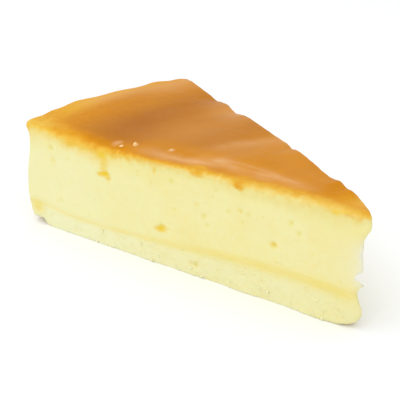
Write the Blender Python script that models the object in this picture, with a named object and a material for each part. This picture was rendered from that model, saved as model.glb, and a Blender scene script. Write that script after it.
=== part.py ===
"""A slice of baked cheesecake: a wedge of set custard on a thin layer of sponge.

Metres, +Z up. The origin is the middle of the underside of the slice's box. The blunt tip points along +X,
the rim along -X, and the two cuts face -Y and +Y. Both layers are worked out about the middle of the round
cake that the slice was cut from, and an empty at that middle then carries them to their place.
"""

import math
from dataclasses import dataclass
from typing import Callable

import bmesh
import bpy
from mathutils import Vector

MM = 0.001

# The round cake, and the slice that was cut from it by hand
CAKE_RADIUS = 124.8 * MM
SLICE_ANGLE = math.radians(31.0)
SLICE_HEIGHT = 34.7 * MM
TIP_RADIUS = 10.0 * MM  # from the cake's middle to the blunt tip, along the cut that faces -Y

# The rim: baked against the tin, it slumps out above the sponge, and its two corners are drawn in
RIM_SLUMP = 3.0 * MM
RIM_SLUMP_HEIGHT = 12.6 * MM
RIM_SLUMP_SPREAD = 11.5 * MM
RIM_CORNER = 2.4 * MM
RIM_CORNER_SHARPNESS = 8
RIM_RIPPLE = 0.5 * MM
RIM_RIPPLES = 0.8  # waves in half of the rim's arc

# The tip: broken off at a slant, and rounded into one cut; the custard leans out at the top, the sponge at
# the foot
TIP_SLANT = math.radians(49.0)  # turn of its end's normal, from +X towards +Y
TIP_ROUNDING = 3.0 * MM  # how far the rounding reaches along the cut
TIP_ROUNDING_TURN = -0.3
TIP_LEAN = 2.0 * MM
TIP_LEAN_HEIGHT = 32.7 * MM
TIP_LEAN_SPREAD = 3.4 * MM
TIP_TOE = 0.9 * MM
TIP_TOE_HEIGHT = 6.0 * MM
TIP_TOE_SPREAD = 4.0 * MM

# The seam between the layers: low along the slice, lifted at the rim and rising towards the tip
SEAM_LOW = 6.5 * MM
SEAM_AT_TIP = 10.7 * MM
SEAM_RISE_FROM = 96.0 * MM
SEAM_RISE_TO = 34.0 * MM
SEAM_RIM_LIFT = 1.4 * MM
SEAM_RIM_SPREAD = 10.0 * MM
LAYER_GAP = 0.3 * MM

# The top: nearly level, it is a little proud half-way along the slice
TOP_CROWN = 1.3 * MM
TOP_CROWN_AT = 60.0 * MM
TOP_CROWN_SPREAD = 30.0 * MM

# How finely the two layers are divided
STEPS_ALONG = 22
STEPS_ACROSS = 12
STEPS_ROUND_AN_EDGE = 3

CUSTARD_COLOUR = (0.896, 0.823, 0.392, 1.0)
CUSTARD_ROUGHNESS = 0.55
SPONGE_COLOUR = (0.871, 0.846, 0.498, 1.0)
SPONGE_ROUGHNESS = 0.9


@dataclass(frozen=True)
class Edge:
    """A rounded edge: its height, and how far it draws in along the cuts and at the rim and the tip."""

    height: float
    cuts: float
    ends: float


@dataclass(frozen=True)
class Layer:
    """One layer of the slice, between two surfaces whose heights depend on the distance from the middle."""

    name: str
    underside: Callable[[float], float]
    upper_side: Callable[[float], float]
    foot: Edge
    brow: Edge
    wall_steps: int
    colour: tuple
    roughness: float


@dataclass(frozen=True)
class Level:
    """One level of a layer: a share of the way up, a lift off that, and how far its outline draws in."""

    share: float
    lift: float
    cuts: float
    ends: float


def hump(value, centre, spread):
    """A smooth hump, 1 high at its centre."""
    return math.exp(-(((value - centre) / spread) ** 2))


def eased(share):
    """A share from 0 to 1 with level ends."""
    share = min(1.0, max(0.0, share))
    return share * share * (3 - 2 * share)


def seam_height(radius):
    """Height of the seam between the layers."""
    rise = eased((SEAM_RISE_FROM - radius) / (SEAM_RISE_FROM - SEAM_RISE_TO))
    lift = SEAM_RIM_LIFT * hump(radius, CAKE_RADIUS, SEAM_RIM_SPREAD)
    return SEAM_LOW + (SEAM_AT_TIP - SEAM_LOW) * rise + lift


def top_height(radius):
    """Height of the browned top."""
    return SLICE_HEIGHT + TOP_CROWN * hump(radius, TOP_CROWN_AT, TOP_CROWN_SPREAD)


def rim_radius(height, turn):
    """Distance of the rim from the cake's middle; turn runs from -1 at one cut to 1 at the other."""
    slump = RIM_SLUMP * hump(height, RIM_SLUMP_HEIGHT, RIM_SLUMP_SPREAD)
    corner = RIM_CORNER * (1 - abs(turn) ** RIM_CORNER_SHARPNESS)
    ripple = RIM_RIPPLE * math.sin(2 * math.pi * RIM_RIPPLES * turn) * (1 - turn * turn)
    return CAKE_RADIUS + slump + corner + ripple


def tip_radius(height, turn, draw):
    """Distance of the blunt tip from the cake's middle, where its end is drawn in along its normal.

    The end is a plane at a slant, seen in polar coordinates, and a quarter ellipse rounds it into the cut.
    """
    lean = TIP_LEAN * hump(height, TIP_LEAN_HEIGHT, TIP_LEAN_SPREAD)
    toe = TIP_TOE * hump(height, TIP_TOE_HEIGHT, TIP_TOE_SPREAD)
    setback = TIP_RADIUS * math.cos(TIP_SLANT - SLICE_ANGLE / 2) - lean - toe + draw
    into_rounding = max(0.0, (TIP_ROUNDING_TURN - turn) / (TIP_ROUNDING_TURN + 1))
    rounding = TIP_ROUNDING * (1 - math.sqrt(1 - (0.96 * into_rounding) ** 2))
    return setback / math.cos(TIP_SLANT + turn * SLICE_ANGLE / 2) + rounding


def levels_of(layer):
    """The levels of a layer from its underside to its upper side."""
    quarter = [math.pi / 2 * step / STEPS_ROUND_AN_EDGE for step in range(STEPS_ROUND_AN_EDGE)]
    levels = []
    for angle in quarter:
        lift = layer.foot.height * (1 - math.cos(angle))
        draw = 1 - math.sin(angle)
        levels.append(Level(0.0, lift, layer.foot.cuts * draw, layer.foot.ends * draw))
    for step in range(layer.wall_steps + 1):
        share = step / layer.wall_steps
        lift = layer.foot.height * (1 - share) - layer.brow.height * share
        levels.append(Level(share, lift, 0.0, 0.0))
    for angle in reversed(quarter):
        lift = -layer.brow.height * (1 - math.cos(angle))
        draw = 1 - math.sin(angle)
        levels.append(Level(1.0, lift, layer.brow.cuts * draw, layer.brow.ends * draw))
    return levels


def placed(layer, level, along, across):
    """A point of a layer, with the cake's middle on the Z axis; along and across run from 0 to 1.

    The steps across are closest at the two cuts, where the rim's corners are round.
    """
    turn = math.sin(math.pi * (across - 0.5))
    height = layer.underside(CAKE_RADIUS) * (1 - level.share) + layer.upper_side(CAKE_RADIUS) * level.share
    inner = tip_radius(height, turn, level.ends)
    outer = rim_radius(height, turn) - level.ends
    radius = inner + (outer - inner) * along
    angle = turn * (SLICE_ANGLE / 2 - math.asin(min(1.0, level.cuts / radius)))
    low = layer.underside(radius)
    high = layer.upper_side(radius)
    return Vector((
        -radius * math.cos(angle),
        radius * math.sin(angle),
        low + (high - low) * level.share + level.lift,
    ))


def stack_of_grids(count):
    """A closed block: a grid from 0 to 1 along X and Y, extruded so that level n lies at Z = n."""
    block = bmesh.new()
    bmesh.ops.create_grid(block, x_segments=STEPS_ALONG, y_segments=STEPS_ACROSS, size=0.5)
    bmesh.ops.translate(block, verts=block.verts, vec=(0.5, 0.5, 0.0))
    lid = block.faces[:] + block.edges[:] + block.verts[:]
    for _ in range(count - 1):
        lid = bmesh.ops.extrude_face_region(block, geom=lid)["geom"]
        corners = [item for item in lid if isinstance(item, bmesh.types.BMVert)]
        bmesh.ops.translate(block, verts=corners, vec=(0.0, 0.0, 1.0))
    return block


def finish(name, colour, roughness):
    """A plain material for a layer."""
    material = bpy.data.materials.new(name)
    material.use_nodes = True
    shader = material.node_tree.nodes["Principled BSDF"]
    shader.inputs["Base Color"].default_value = colour
    shader.inputs["Roughness"].default_value = roughness
    material.diffuse_color = colour
    return material


def build_layer(layer, parent, collection):
    """A layer as an object: a stack of grids bent into its shape."""
    levels = levels_of(layer)
    block = stack_of_grids(len(levels))
    for corner in block.verts:
        along, across, number = corner.co
        corner.co = placed(layer, levels[round(number)], along, across)
    bmesh.ops.recalc_face_normals(block, faces=block.faces)
    mesh = bpy.data.meshes.new(layer.name)
    block.to_mesh(mesh)
    block.free()
    mesh.shade_smooth()
    mesh.materials.append(finish(layer.name, layer.colour, layer.roughness))
    obj = bpy.data.objects.new(layer.name, mesh)
    obj.parent = parent
    collection.objects.link(obj)
    return obj


def sponge():
    """The sponge under the custard, its foot rounded most at the rim and the tip."""
    return Layer(
        name="sponge_base",
        underside=lambda radius: 0.0,
        upper_side=lambda radius: seam_height(radius) - LAYER_GAP / 2,
        foot=Edge(height=2.4 * MM, cuts=0.8 * MM, ends=2.6 * MM),
        brow=Edge(height=0.6 * MM, cuts=0.5 * MM, ends=0.6 * MM),
        wall_steps=3,
        colour=SPONGE_COLOUR,
        roughness=SPONGE_ROUGHNESS,
    )


def custard():
    """The baked custard, with its browned top edge rolled over."""
    return Layer(
        name="custard",
        underside=lambda radius: seam_height(radius) + LAYER_GAP / 2,
        upper_side=top_height,
        foot=Edge(height=0.6 * MM, cuts=0.5 * MM, ends=0.6 * MM),
        brow=Edge(height=2.0 * MM, cuts=2.0 * MM, ends=1.6 * MM),
        wall_steps=9,
        colour=CUSTARD_COLOUR,
        roughness=CUSTARD_ROUGHNESS,
    )


def middle_of_the_box(objects):
    """The middle of the objects' box as seen from above."""
    corners = [corner.co for obj in objects for corner in obj.data.vertices]
    spans = [(min(c[axis] for c in corners), max(c[axis] for c in corners)) for axis in (0, 1)]
    return Vector([(low + high) / 2 for low, high in spans] + [0.0])


def main():
    """Build the slice, standing on its sponge with the middle of its underside at the origin."""
    for obj in list(bpy.data.objects):
        bpy.data.objects.remove(obj, do_unlink=True)
    collection = bpy.data.collections.new("baked_cheesecake_slice")
    bpy.context.scene.collection.children.link(collection)
    cake_middle = bpy.data.objects.new("cake_middle", None)
    collection.objects.link(cake_middle)
    layers = [build_layer(layer, cake_middle, collection) for layer in (sponge(), custard())]
    cake_middle.location = -middle_of_the_box(layers)


main()
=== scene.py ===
"""A slice of baked cheesecake in a plain white studio.

The slice is a wedge of a round cake: pale custard with a browned, glazed top, on a thin layer of sponge,
with a soaked line between them. Each layer is a closed block whose points are functions of their shares
along, across and up the slice. Places on the slice are given as the distance from the middle of the round
cake and the turn off the slice's middle plane, which runs from -1 at the near cut to 1 at the far cut. The
slice's lengths are in millimetres, and become metres where they are handed to Blender.
"""

import logging
import math
from dataclasses import dataclass, field
from enum import Enum
from functools import reduce
from itertools import product
from typing import Sequence, Union

import bpy
import numpy as np
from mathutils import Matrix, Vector


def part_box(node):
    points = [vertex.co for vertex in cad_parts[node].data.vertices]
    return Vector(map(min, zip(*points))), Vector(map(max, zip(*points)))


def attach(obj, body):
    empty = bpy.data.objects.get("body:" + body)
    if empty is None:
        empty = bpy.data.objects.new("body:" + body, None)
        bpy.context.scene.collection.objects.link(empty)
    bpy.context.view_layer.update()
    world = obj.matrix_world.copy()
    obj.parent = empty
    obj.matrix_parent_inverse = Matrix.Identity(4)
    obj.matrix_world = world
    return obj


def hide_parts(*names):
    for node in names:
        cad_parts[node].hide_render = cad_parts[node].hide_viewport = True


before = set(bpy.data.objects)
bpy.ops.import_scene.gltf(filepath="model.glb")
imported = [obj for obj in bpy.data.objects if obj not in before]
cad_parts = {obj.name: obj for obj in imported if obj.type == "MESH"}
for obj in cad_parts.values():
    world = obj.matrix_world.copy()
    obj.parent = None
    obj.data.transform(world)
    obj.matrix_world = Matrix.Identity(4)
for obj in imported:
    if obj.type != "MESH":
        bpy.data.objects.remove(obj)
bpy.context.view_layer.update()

log = logging.getLogger("cheesecake")

MM = 0.001
Array = np.ndarray
Amount = Union[float, np.ndarray]
Colour = tuple[float, float, float, float]
Stops = tuple[tuple[float, Colour], ...]


class Mask(Enum):
    """What a point of a mesh carries for its material, from 0 to 1."""

    BROWNED = "browned"
    RIM_END = "rim_end"
    ROAST = "roast"
    # Where reflected light and glints are painted onto the top.
    PAINTED_SHEEN = "painted_sheen"
    SOAKED = "soaked"
    DEEP = "deep"
    PALE = "pale"
    STAIN = "stain"
    PORE_SHADE = "pore_shade"
    # Where shade is painted into pits and holes.
    RIND = "rind"


class Face(Enum):
    """The faces of the slice that a relief or a mask can be held to."""

    NEAR = "near cut"
    FAR = "far cut"
    RIM = "rim"
    TIP = "tip"
    TOP = "top"


# ------------------------------------------------------------
# Shapes as whole arrays


def hump(value: Array, centre: Amount, spread: Amount) -> Array:
    """A smooth hump, 1 high at its centre: e to the minus square of the distance in spreads."""
    return np.exp(-(((value - centre) / spread) ** 2))


def eased(value: Array, start: float, end: float) -> Array:
    """0 at start and 1 at end, as 3 s squared minus 2 s cubed of the share s of the way between them."""
    share = np.clip((value - start) / (end - start), 0.0, 1.0)
    return share * share * (3 - 2 * share)


def between(low: Amount, high: Amount, share: Array) -> Array:
    """A value that share of the way from low to high."""
    return low + (high - low) * share


@dataclass(frozen=True)
class Rise:
    """A hump of some height along some measure, or a dip where the height is negative."""

    centre: float
    spread: float
    height: float

    def at(self, value: Array) -> Array:
        """Its height at each value."""
        return self.height * hump(value, self.centre, self.spread)


def risen(value: Array, rises: Sequence[Rise]) -> Array:
    """The rises at each value, added up."""
    return sum(rise.at(value) for rise in rises)


@dataclass(frozen=True)
class Spot:
    """A soft spot on a face: its place along and across it, its half sizes there, and its strength."""

    along: float
    across: float
    half_length: float
    half_width: float
    strength: float

    def at(self, along: Array, across: Array, sharpness: float = 1.0) -> Array:
        """Its strength at each place: it falls with that power of the squared distance in half sizes."""
        ahead, aside = (along - self.along) / self.half_length, (across - self.across) / self.half_width
        return self.strength * np.exp(-((ahead ** 2 + aside ** 2) ** sharpness))


def pit(radius: float, height: float, half_width: float, depth: float) -> Spot:
    """A small round hole or dimple in a cut."""
    return Spot(radius, height, half_width, half_width, depth)


def strongest(spots: Sequence[Spot], along: Array, across: Array, sharpness: float = 1.0) -> Array:
    """The strongest of the spots at each place."""
    return reduce(np.maximum, (spot.at(along, across, sharpness) for spot in spots))


def scattered_pits(seed: int, count: int, reach: tuple[float, float], rise: tuple[float, float],
                   widths: tuple[float, float]) -> list[Spot]:
    """Pits at random places on a cut, small ones most often, each about half as deep as its half width.

    Args:
        seed: the number that the draws start from.
        count: how many pits.
        reach: the least and most distance from the cake's middle.
        rise: the least and most height.
        widths: the least and most half width.

    Returns:
        The pits.
    """
    draw = np.random.default_rng(seed)
    radii = draw.uniform(*reach, count)
    heights = draw.uniform(*rise, count)
    sizes = between(*widths, draw.random(count) ** 2.5)
    return [pit(radius, height, size, 0.55 * size) for radius, height, size in zip(radii, heights, sizes)]


class SmoothNoise:
    """Seeded gradient noise in three dimensions, which runs from about -1 to 1."""

    TABLE = 256
    GAIN = 1.6

    def __init__(self, seed: int) -> None:
        """Shuffles the table of slopes.

        Args:
            seed: the number that the shuffle starts from.
        """
        draw = np.random.default_rng(seed)
        self.order = draw.permutation(self.TABLE)
        slopes = draw.normal(size=(self.TABLE, 3))
        self.slopes = slopes / np.linalg.norm(slopes, axis=1, keepdims=True)

    def at(self, points: Array, size: Union[float, tuple]) -> Array:
        """Noise at points, as the eased mean of the slopes at the eight corners of each point's cell.

        Args:
            points: places, one a row.
            size: the side of a cell, or its three sides.

        Returns:
            One value for each point.
        """
        place = points / np.asarray(size)
        cell = np.floor(place).astype(int)
        part = place - cell
        ease = part ** 3 * (part * (part * 6 - 15) + 10)
        total = np.zeros(len(points))
        for corner in product((0, 1), repeat=3):
            key = np.zeros(len(points), dtype=int)
            for step in (cell + corner).T:
                key = self.order[(key + step) % self.TABLE]
            slope = np.einsum("ij,ij->i", self.slopes[key], part - corner)
            total += slope * np.prod(np.where(corner, ease, 1 - ease), axis=1)
        return total * self.GAIN

    def layered(self, points: Array, size: float, layers: int) -> Array:
        """Noise at points in cells of a size, with each further layer half as large and half as strong."""
        return sum(self.at(points + 7.3 * size * n, size / 2 ** n) / 2 ** n for n in range(layers))


@dataclass(frozen=True)
class BlockGrid:
    """The closed surface of a block, as six grids that share their edges."""

    along: int
    across: int
    up: int

    def numbers(self) -> Array:
        """Numbers the block's lattice.

        Returns:
            A number for each lattice point of the surface, and -1 inside the block.
        """
        shape = (self.along + 1, self.across + 1, self.up + 1)
        surface = np.ones(shape, dtype=bool)
        surface[1:-1, 1:-1, 1:-1] = False
        numbers = np.full(shape, -1)
        numbers[surface] = np.arange(surface.sum())
        return numbers

    def places(self) -> tuple[Array, Array, Array]:
        """The whole steps along, across and up of each point of the surface."""
        return tuple(np.argwhere(self.numbers() >= 0).T)

    def quads(self) -> Array:
        """The faces of the surface.

        Returns:
            Four corners for each face, which turn so that the face points outwards.
        """
        numbers = self.numbers()
        sides = []
        for axis, end in product(range(3), (0, -1)):
            sheet = np.take(numbers, end, axis=axis)
            corners = [sheet[:-1, :-1], sheet[1:, :-1], sheet[1:, 1:], sheet[:-1, 1:]]
            if (axis == 1) == (end == -1):
                corners.reverse()
            sides.append(np.stack(corners, axis=-1).reshape(-1, 4))
        return np.concatenate(sides)


def ball(steps: int) -> tuple[Array, Array]:
    """A unit ball: the points of a cube's grid, each moved along its own direction to a distance of 1.

    Args:
        steps: how many faces each edge of the cube has.

    Returns:
        The points, and the faces as four corners each.
    """
    grid = BlockGrid(steps, steps, steps)
    cube = np.tan((np.stack(grid.places(), axis=-1) * 2 / steps - 1) * math.pi / 4)
    return cube / np.linalg.norm(cube, axis=1, keepdims=True), grid.quads()


def normals_of(points: Array, quads: Array) -> Array:
    """Unit normals: the cross products of the faces' diagonals, added up at each corner.

    Args:
        points: places, one a row.
        quads: four corners a face.

    Returns:
        One unit vector for each point.
    """
    first, second, third, fourth = (points[quads[:, corner]] for corner in range(4))
    faces = np.cross(third - first, fourth - second)
    total = np.zeros_like(points)
    for corner in range(4):
        np.add.at(total, quads[:, corner], faces)
    return total / np.linalg.norm(total, axis=1, keepdims=True)


def mesh_piece(name: str, points: Array, quads: Array, masks: dict[Mask, Array]) -> bpy.types.Object:
    """Puts arrays into a smooth-shaded mesh object at the origin.

    Args:
        name: the piece's name.
        points: places in millimetres, one a row.
        quads: four corners a face.
        masks: one value a point for each mask that the material reads.

    Returns:
        The new object, linked to the scene.
    """
    mesh = bpy.data.meshes.new(name)
    mesh.vertices.add(len(points))
    mesh.vertices.foreach_set("co", (points * MM).astype(np.float32).ravel())
    mesh.loops.add(quads.size)
    mesh.loops.foreach_set("vertex_index", quads.astype(np.int32).ravel())
    mesh.polygons.add(len(quads))
    mesh.polygons.foreach_set("loop_start", np.arange(0, quads.size, 4, dtype=np.int32))
    mesh.update(calc_edges=True)
    mesh.shade_smooth()
    for mask, values in masks.items():
        layer = mesh.attributes.new(mask.value, "FLOAT", "POINT")
        layer.data.foreach_set("value", np.clip(values, 0.0, 1.0).astype(np.float32))
    piece = bpy.data.objects.new(name, mesh)
    bpy.context.scene.collection.objects.link(piece)
    return piece


# ------------------------------------------------------------
# Shader expressions


def srgb(red: int, green: int, blue: int) -> Colour:
    """A colour as seen on a screen, 0 to 255, as the linear colour that a shader takes."""
    shares = [part / 255 for part in (red, green, blue)]
    return (*(s / 12.92 if s <= 0.04045 else ((s + 0.055) / 1.055) ** 2.4 for s in shares), 1.0)


def stops(*rows: tuple[float, int, int, int]) -> Stops:
    """A ramp's stops, from the lowest up: each a place from 0 to 1 and a colour as seen on a screen."""
    return tuple((place, srgb(*colour)) for place, *colour in rows)


class Signal:
    """A node's output as a number, so that shader maths is written as expressions."""

    def __init__(self, graph: "Graph", socket: bpy.types.NodeSocket) -> None:
        """Wraps an output socket of a node in graph."""
        self.graph = graph
        self.socket = socket

    def math(self, operation: str, *terms: Union["Signal", float]) -> "Signal":
        """A Math node of these terms, in the order of its sockets."""
        node = self.graph.node("ShaderNodeMath", {"operation": operation}, dict(enumerate(terms)))
        return Signal(self.graph, node.outputs[0])

    def __add__(self, other: Union["Signal", float]) -> "Signal":
        """self + other."""
        return self.math("ADD", self, other)

    def __sub__(self, other: Union["Signal", float]) -> "Signal":
        """self - other."""
        return self.math("SUBTRACT", self, other)

    def __mul__(self, other: Union["Signal", float]) -> "Signal":
        """self * other."""
        return self.math("MULTIPLY", self, other)

    def __rsub__(self, other: float) -> "Signal":
        """other - self."""
        return self.math("SUBTRACT", other, self)

    __radd__ = __add__

    def step(self, start: float, end: float) -> "Signal":
        """Eases from 0 to 1.

        Args:
            start: where it is still 0.
            end: where it reaches 1.

        Returns:
            The eased signal.
        """
        inputs = {0: self, 1: start, 2: end}
        node = self.graph.node("ShaderNodeMapRange", {"interpolation_type": "SMOOTHSTEP"}, inputs)
        return Signal(self.graph, node.outputs[0])


class Graph:
    """The nodes of one material, ending in a Principled shader."""

    def __init__(self, name: str, shader: dict[str, object]) -> None:
        """Makes the material.

        Args:
            name: the material's name.
            shader: the values that are the same all over the surface, by socket.
        """
        self.material = bpy.data.materials.new(name)
        self.material.use_nodes = True
        self.tree = self.material.node_tree
        self.tree.nodes.clear()
        self.principled = self.node("ShaderNodeBsdfPrincipled", {}, shader)
        self.node("ShaderNodeOutputMaterial", {}, {"Surface": self.principled.outputs[0]})
        self.object_point = self.node("ShaderNodeTexCoord", {}, {}).outputs["Object"]

    def node(self, kind: str, settings: dict[str, object], inputs: dict[object, object]) -> bpy.types.Node:
        """Adds a node.

        Args:
            kind: the node's type.
            settings: its properties.
            inputs: a value or a link for each of its sockets, by name or number.

        Returns:
            The node.
        """
        node = self.tree.nodes.new(kind)
        for name, value in settings.items():
            setattr(node, name, value)
        for name, value in inputs.items():
            self.feed(node.inputs[name], value)
        return node

    def feed(self, socket: bpy.types.NodeSocket, value: object) -> None:
        """Links a signal or an output to a socket, or sets a plain value on it.

        Args:
            socket: an input of a node.
            value: what goes in.
        """
        if isinstance(value, Signal):
            value = value.socket
        if isinstance(value, bpy.types.NodeSocket):
            self.tree.links.new(value, socket)
        else:
            socket.default_value = value

    def mask(self, mask: Mask) -> Signal:
        """A mask that the mesh carries."""
        node = self.node("ShaderNodeAttribute", {"attribute_name": mask.value}, {})
        return Signal(self, node.outputs["Fac"])

    def noise(self, size: float, layers: float) -> Signal:
        """Noise from 0 to 1 with its middle at 0.5, its largest features a size wide."""
        inputs = {"Vector": self.object_point, "Scale": 1 / (size * MM), "Detail": layers}
        return Signal(self, self.node("ShaderNodeTexNoise", {}, inputs).outputs[0])

    def cells(self, size: float) -> Signal:
        """The distance to the nearest of points scattered a size apart, in sizes."""
        inputs = {"Vector": self.object_point, "Scale": 1 / (size * MM)}
        return Signal(self, self.node("ShaderNodeTexVoronoi", {}, inputs).outputs["Distance"])

    def mix(self, share: object, first: object, second: object) -> bpy.types.NodeSocket:
        """A colour that share of the way from first to second."""
        settings = {"data_type": "RGBA", "clamp_factor": True}
        return self.node("ShaderNodeMix", settings, {0: share, 6: first, 7: second}).outputs[2]

    def ramp(self, share: Signal, rows: Stops) -> bpy.types.NodeSocket:
        """The colour at share among a ramp's stops.

        Args:
            share: the place on the ramp.
            rows: its stops.

        Returns:
            The colour.
        """
        node = self.node("ShaderNodeValToRGB", {}, {0: share})
        while len(node.color_ramp.elements) < len(rows):
            node.color_ramp.elements.new(1.0)
        for element, (place, colour) in zip(node.color_ramp.elements, rows):
            element.position = place
            element.color = colour
        return node.outputs[0]

    def bump(self, height: Signal, depth: float) -> bpy.types.NodeSocket:
        """A normal from a relief, of which a height of 1 stands for this depth."""
        inputs = {"Strength": 1.0, "Distance": depth * MM, "Height": height}
        return self.node("ShaderNodeBump", {}, inputs).outputs[0]

    def finish(self, **sockets: object) -> bpy.types.Material:
        """Feeds what changes over the surface into the shader.

        Args:
            sockets: a value or a link for each socket, with _ for a space in its name.

        Returns:
            The material.
        """
        for name, value in sockets.items():
            self.feed(self.principled.inputs[name.replace("_", " ")], value)
        return self.material


# ------------------------------------------------------------
# Finishes


class Finish:
    """How a piece looks: each kind of finish makes its material."""

    def material(self) -> bpy.types.Material:
        """The material."""
        raise NotImplementedError


@dataclass(frozen=True)
class CustardFinish(Finish):
    """Pale custard that turns through yellow and orange to a glazed, caramel-coloured top."""

    pale: Colour = srgb(233, 229, 176)
    deep: Colour = srgb(233, 222, 154)
    tip_pale: Colour = srgb(231, 229, 206)
    soaked: Colour = srgb(232, 216, 130)
    edge: Stops = stops(
        (0.02, 231, 221, 154), (0.06, 230, 217, 146), (0.12, 229, 212, 136), (0.2, 228, 203, 119),
        (0.3, 228, 193, 98), (0.45, 225, 180, 72), (0.62, 221, 165, 54), (0.82, 216, 151, 44),
    )
    rim_edge: Stops = stops(
        (0.02, 233, 219, 152), (0.06, 233, 214, 138), (0.12, 232, 207, 118), (0.2, 231, 198, 94),
        (0.3, 229, 190, 84), (0.45, 227, 180, 68), (0.62, 223, 166, 52), (0.82, 217, 151, 33),
    )
    top: Stops = stops((0.0, 222, 163, 36), (0.3, 205, 132, 10), (0.65, 185, 115, 20), (1.0, 170, 102, 26))
    # The colour of painted sheen: reflected light painted onto the glaze.
    painted_sheen: Colour = srgb(221, 167, 109)
    stain: Colour = srgb(231, 194, 44)
    # Painted shade in the pits of the cut.
    pore_shade: Colour = srgb(227, 213, 120)
    rind_pale: Colour = srgb(230, 208, 142)
    rind_gold: Colour = srgb(214, 170, 92)

    def material(self) -> bpy.types.Material:
        """Mixes the custard, its fringe and its top by the masks that the mesh carries.

        Returns:
            The material.
        """
        g = Graph("custard", {
            "Subsurface Weight": 0.2,
            "Subsurface Radius": (1.0, 0.6, 0.25),
            "Subsurface Scale": 0.4 * MM,
            "Coat Roughness": 0.25,
            "Specular IOR Level": 0.04,
            "IOR": 1.42,
        })
        browned, cloud = g.mask(Mask.BROWNED), g.noise(14, 3)
        grain, fine = g.noise(2.2, 3), g.noise(0.5, 2)
        cream = g.mix(g.mask(Mask.DEEP) + (cloud - 0.5) * 1.1 + (grain - 0.5) * 0.8, self.pale, self.deep)
        cream = g.mix(g.mask(Mask.PALE) * 0.9, cream, self.tip_pale)
        cream = g.mix(g.mask(Mask.SOAKED), cream, self.soaked)
        # Pits and pores are painted a darker yellow: painted shade in the hollows.
        shaded_pores = g.cells(2.4).step(0.22, 0.1) * grain.step(0.5, 0.62)
        cream = g.mix(g.mask(Mask.PORE_SHADE) * 0.9 + shaded_pores * 0.55, cream, self.pore_shade)
        rind = g.mix((cloud + grain * 0.4).step(0.55, 0.85), self.rind_pale, self.rind_gold)
        cream = g.mix(g.mask(Mask.RIND) * 0.85, cream, rind)
        tone = g.mask(Mask.ROAST) + (grain - 0.5) * 0.15 + (fine - 0.5) * 0.25
        blotched = browned + (grain - 0.5) * browned * (1.0 - browned) * 2.0
        # Painted sheen: the top is mixed towards a pale pink where the mesh marks painted reflection and
        # glints.
        sheen_share = g.mask(Mask.PAINTED_SHEEN) * (0.35 + grain * 0.6 + fine * 0.4)
        top = g.mix(sheen_share, g.ramp(tone, self.top), self.painted_sheen)
        fringe = g.mix(g.mask(Mask.RIM_END), g.ramp(blotched, self.edge), g.ramp(blotched, self.rim_edge))
        colour = g.mix(browned.step(0.0, 0.03), cream, fringe)
        colour = g.mix(browned.step(0.7, 0.97), colour, top)
        colour = g.mix(g.mask(Mask.STAIN), colour, self.stain)
        skin = browned.step(0.3, 0.9)
        relief = (fine * 0.5 + grain * 0.5) * (1 - skin * 0.8)
        return g.finish(
            Base_Color=colour,
            Roughness=0.55 - skin * 0.17 + (grain - 0.5) * 0.1,
            Coat_Weight=skin * (0.04 + g.mask(Mask.PAINTED_SHEEN) * 0.1),
            Normal=g.bump(relief, 0.1),
        )


@dataclass(frozen=True)
class SpongeFinish(Finish):
    """Pale sponge with an open crumb, a little darker where it was baked against the tin."""

    name: str = "sponge"
    pale: Colour = srgb(233, 231, 187)
    deep: Colour = srgb(230, 223, 164)
    # Painted shade in the crumb's holes.
    hollow_shade: Colour = srgb(228, 213, 132)
    soaked: Colour = srgb(232, 216, 130)
    baked: Colour = srgb(216, 180, 114)

    def material(self) -> bpy.types.Material:
        """Makes a mottled crumb with small holes, painted darker inside as painted shade.

        Returns:
            The material.
        """
        g = Graph(self.name, {
            "Subsurface Weight": 0.2,
            "Subsurface Radius": (1.0, 0.65, 0.3),
            "Subsurface Scale": 0.4 * MM,
            "IOR": 1.35,
        })
        mottle, grain = g.noise(4, 3), g.noise(0.8, 3)
        # The crumb's holes are painted darker: painted shade in the hollows.
        holes = g.cells(1.1).step(0.45, 0.15) * mottle.step(0.4, 0.6)
        crumb = g.mix(g.mask(Mask.DEEP) + (mottle - 0.5) * 0.9 + (grain - 0.5) * 0.6, self.pale, self.deep)
        crumb = g.mix(holes * 0.3 + g.mask(Mask.PORE_SHADE) * 0.7, crumb, self.hollow_shade)
        crumb = g.mix(g.mask(Mask.SOAKED), crumb, self.soaked)
        return g.finish(
            Base_Color=g.mix(g.mask(Mask.RIND) * (0.35 + mottle * 0.5), crumb, self.baked),
            Roughness=0.85 + (grain - 0.5) * 0.15,
            Normal=g.bump(grain - holes * 0.6, 0.12),
        )


@dataclass(frozen=True)
class SoakedFinish(Finish):
    """Pale crumb, deepened by what soaked into it."""

    pale: Colour = srgb(234, 230, 180)
    deep: Colour = srgb(233, 223, 159)
    wet: Colour = srgb(231, 215, 130)
    baked: Colour = srgb(219, 184, 116)

    def material(self) -> bpy.types.Material:
        """Makes it deeper where it is more soaked, in soft patches.

        Returns:
            The material.
        """
        g = Graph("soaked_sponge", {"Specular IOR Level": 0.1})
        patch, grain = g.noise(4, 3), g.noise(0.7, 2)
        dry = g.mix(g.mask(Mask.DEEP) + (patch - 0.5) * 0.9, self.pale, self.deep)
        wet = g.mix(g.mask(Mask.SOAKED), dry, self.wet)
        return g.finish(
            Base_Color=g.mix(g.mask(Mask.RIND) * (0.4 + patch * 0.6), wet, self.baked),
            Roughness=0.7 + (grain - 0.5) * 0.2,
            Normal=g.bump(grain, 0.05),
        )


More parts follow.
